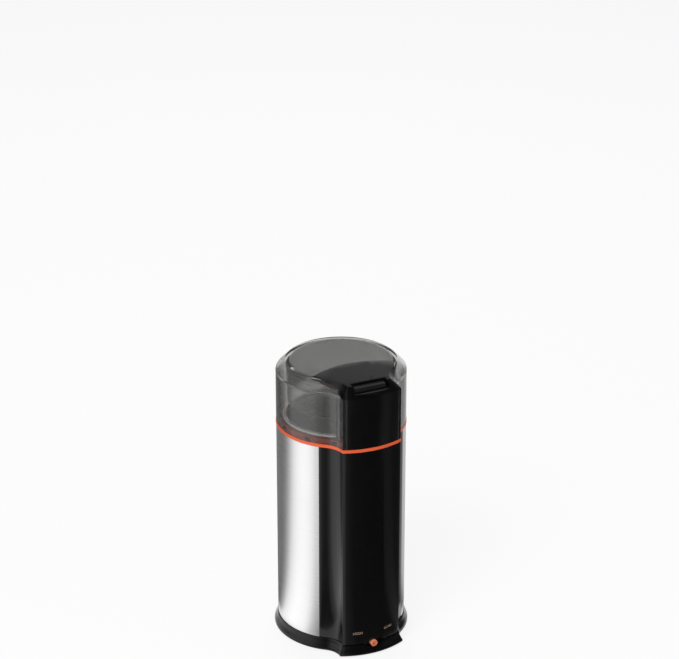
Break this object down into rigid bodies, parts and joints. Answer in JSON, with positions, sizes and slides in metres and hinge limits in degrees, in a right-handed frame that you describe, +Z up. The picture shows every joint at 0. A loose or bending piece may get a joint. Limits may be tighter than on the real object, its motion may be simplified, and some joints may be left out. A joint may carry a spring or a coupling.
{
  "type": "electric coffee grinder",
  "caption": "Electric blade coffee grinder: round brushed steel body with a black front pod, orange collar, lift-out steel bowl, clear press-to-grind lid and a small speed knob.",
  "frame": {"origin": "centre of the foot ring's underside, on the axis that body, bowl, blade and motor share", "axes": "+Z up along that axis, -Y towards the front pod with the speed knob, +X to the right seen from the front"},
  "size_m": [0.1016, 0.1098, 0.2184],
  "materials": {
    "rubber": "matt",
    "base_black": "satin",
    "sleeve_steel": "brushed round the body",
    "gloss_black": "gloss",
    "orange": "satin",
    "inner_grey": "matt",
    "bowl_steel": "polished",
    "blade_steel": "satin",
    "fastener_steel": "zinc plated",
    "spring_steel": "bright",
    "bracket_alloy": "cast",
    "lamination": "laminated",
    "copper": "enamelled wire",
    "brass": "plain",
    "carbon": "matt",
    "coupling_black": "satin",
    "smoked_clear": "clear, gloss",
    "smoked_liner": "clear, satin",
    "switch_black": "matt",
    "board_green": "satin"
  },
  "bodies": {
    "body": {"foot_ring": "rubber", "bottom_cover": "base_black", "cover_screws": "fastener_steel", "base_housing": "base_black", "body_shell": "inner_grey", "steel_sleeve": "sleeve_steel", "front_panel": "gloss_black", "cord_gland": "base_black", "bowl_collar": "orange", "motor_mounts": "rubber", "mount_screws": "fastener_steel", "upper_bracket": "bracket_alloy", "lower_bracket": "bracket_alloy", "motor_bolts": "fastener_steel", "motor_stator": "lamination", "field_coils": "copper", "upper_bearing": "fastener_steel", "lower_bearing": "fastener_steel", "brush_holders": "brass", "carbon_brushes": "carbon", "brush_springs": "spring_steel", "plunger_spring": "spring_steel", "interlock_switch": "switch_black", "switch_bracket": "fastener_steel", "speed_switch": "switch_black", "control_board": "board_green", "board_components": "switch_black"},
    "rotor": {"motor_shaft": "fastener_steel", "rotor_core": "lamination", "rotor_windings": "copper", "commutator": "copper", "cooling_fan": "coupling_black", "drive_coupling": "coupling_black"},
    "bowl": {"grinding_bowl": "bowl_steel", "bowl_base": "base_black", "floor_gasket": "rubber", "spindle_bush": "brass", "bush_nut": "blade_steel"},
    "blade": {"blade_spindle": "blade_steel", "grinder_blade": "blade_steel", "blade_nut": "blade_steel", "driven_coupling": "coupling_black"},
    "lid": {"lid_shell": "smoked_clear", "lid_cover": "gloss_black", "lid_liner": "smoked_liner", "press_guide": "inner_grey", "guide_screws": "fastener_steel", "press_spring": "spring_steel"},
    "press_button": {"press_button": "gloss_black", "actuator_blade": "blade_steel"},
    "interlock_plunger": {"interlock_plunger": "inner_grey", "switch_stem": "inner_grey"},
    "speed_knob": {"speed_knob": "orange", "speed_slider": "inner_grey"}
  },
  "joints": [
    {"name": "bowl_lift", "type": "slide", "parent": "body", "child": "bowl", "axis": [0, 0, 1], "range_m": [0, 0.1007]},
    {"name": "lid_lift", "type": "slide", "parent": "bowl", "child": "lid", "axis": [0, 0, 1], "range_m": [0, 0.0461]},
    {"name": "lid_press", "type": "slide", "parent": "lid", "child": "press_button", "axis": [0, 0, -1], "range_m": [0, 0.003], "stiffness_N_per_m": 400, "springref_m": -0.003, "deforming": ["press_spring"]},
    {"name": "interlock_press", "type": "slide", "parent": "body", "child": "interlock_plunger", "axis": [0, 0, -1], "range_m": [0, 0.003], "stiffness_N_per_m": 200, "springref_m": -0.003, "deforming": ["plunger_spring"]},
    {"name": "rotor_spin", "type": "hinge", "parent": "body", "child": "rotor", "pos_m": [0, 0, 0.05], "axis": [0, 0, 1], "continuous": true},
    {"name": "blade_spin", "type": "hinge", "parent": "bowl", "child": "blade", "pos_m": [0, 0, 0.11], "axis": [0, 0, 1], "continuous": true},
    {"name": "speed_select", "type": "hinge", "parent": "body", "child": "speed_knob", "pos_m": [0, 0, 0.0086], "axis": [0, 0, 1], "range_deg": [-4.26, 4.26]}
  ],
  "couplings": [
    {"joint": "blade_spin", "follows": "rotor_spin", "ratio": 1},
    {"joint": "interlock_press", "follows": "lid_press", "ratio": 1}
  ]
}
